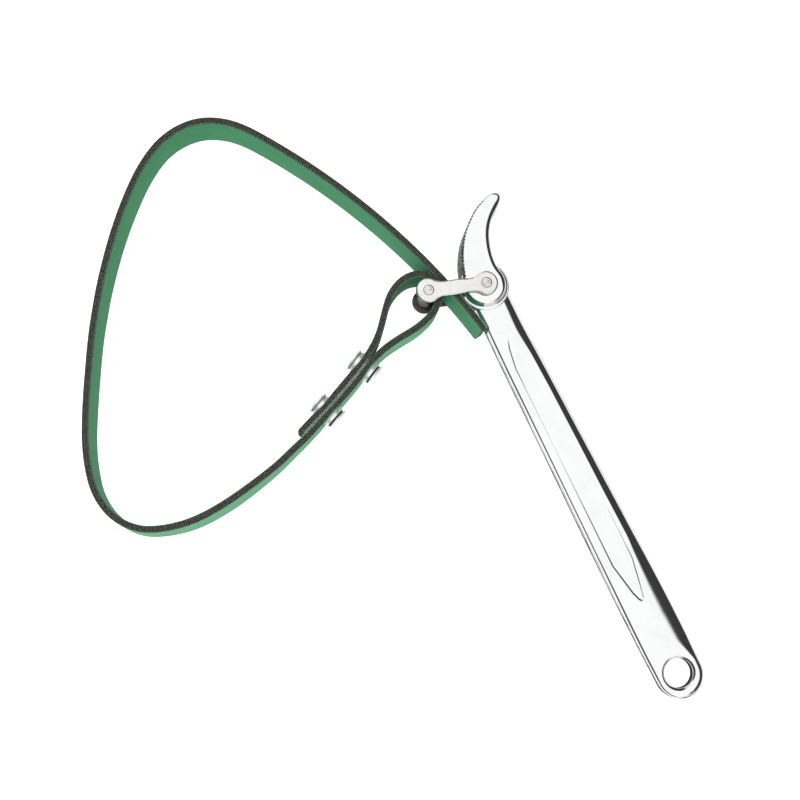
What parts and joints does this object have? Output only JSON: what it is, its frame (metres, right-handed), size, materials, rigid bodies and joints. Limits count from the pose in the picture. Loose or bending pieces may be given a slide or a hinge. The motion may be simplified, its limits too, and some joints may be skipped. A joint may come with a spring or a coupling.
{
  "type": "strap wrench",
  "caption": "Strap wrench with a forged chrome handle, a toothed horn, two link plates and a looped flexible belt that grips round pipes and filters.",
  "frame": {"origin": "centre of the hanging hole at the handle's tail, at mid thickness", "axes": "+X along the handle from the head towards the tail, +Z along the pins and the hanging hole's axis, +Y = Z cross X, so the belt loop lies on the -Y side"},
  "size_m": [0.408, 0.2744, 0.032],
  "materials": {
    "handle_chrome": "polished chrome plate over a forging",
    "link_nickel": "satin nickel-chrome plate",
    "pin_steel": "peened steel rivet ends",
    "roller_steel": "dark oiled steel sleeve",
    "rivet_chrome": "polished",
    "belt_fabric": "dark woven nylon core, cut edge",
    "belt_grip_rubber": "matt green rubber cover with a fine fabric print",
    "belt_back_rubber": "lighter matt green rubber cover"
  },
  "bodies": {
    "handle": {"handle_forging": "handle_chrome"},
    "links": {"link_plate_front": "link_nickel", "link_plate_rear": "link_nickel", "pivot_pin": "pin_steel", "eye_pin": "pin_steel"},
    "roller": {"eye_roller": "roller_steel"},
    "belt_anchor": {"belt_core_anchor": "belt_fabric", "belt_inner_cover_anchor": "belt_grip_rubber", "belt_outer_cover_anchor": "belt_back_rubber", "splice_rivets": "rivet_chrome", "splice_rivet_caps": "rivet_chrome", "splice_washers": "rivet_chrome"},
    "belt_bend": {"belt_core_bend": "belt_fabric", "belt_inner_cover_bend": "belt_grip_rubber", "belt_outer_cover_bend": "belt_back_rubber"},
    "belt_free": {"belt_core_free": "belt_fabric", "belt_inner_cover_free": "belt_grip_rubber", "belt_outer_cover_free": "belt_back_rubber"}
  },
  "joints": [
    {"name": "link_pivot", "type": "hinge", "parent": "handle", "child": "links", "pos_m": [-0.2384, 0, 0], "axis": [0, 0, -1], "range_deg": [0, 38]},
    {"name": "eye_pivot", "type": "hinge", "parent": "links", "child": "belt_anchor", "pos_m": [-0.24829, -0.03117, 0], "axis": [0, 0, -1], "range_deg": [0, 12]},
    {"name": "roller_spin", "type": "hinge", "parent": "links", "child": "roller", "pos_m": [-0.24829, -0.03117, 0], "axis": [0, 0, 1], "continuous": true},
    {"name": "belt_feed", "type": "hinge", "parent": "belt_anchor", "child": "belt_free", "pos_m": [-0.1378, -0.407, 0], "axis": [0, 0, 1], "range_deg": [0, 3.5]},
    {"name": "bend_swing", "type": "hinge", "parent": "belt_anchor", "child": "belt_bend", "pos_m": [-0.2314, -0.2413, 0], "axis": [0, 0, 1], "range_deg": [0, 6.6]}
  ],
  "couplings": [
    {"joint": "bend_swing", "follows": "belt_feed", "ratio": 1.873}
  ]
}
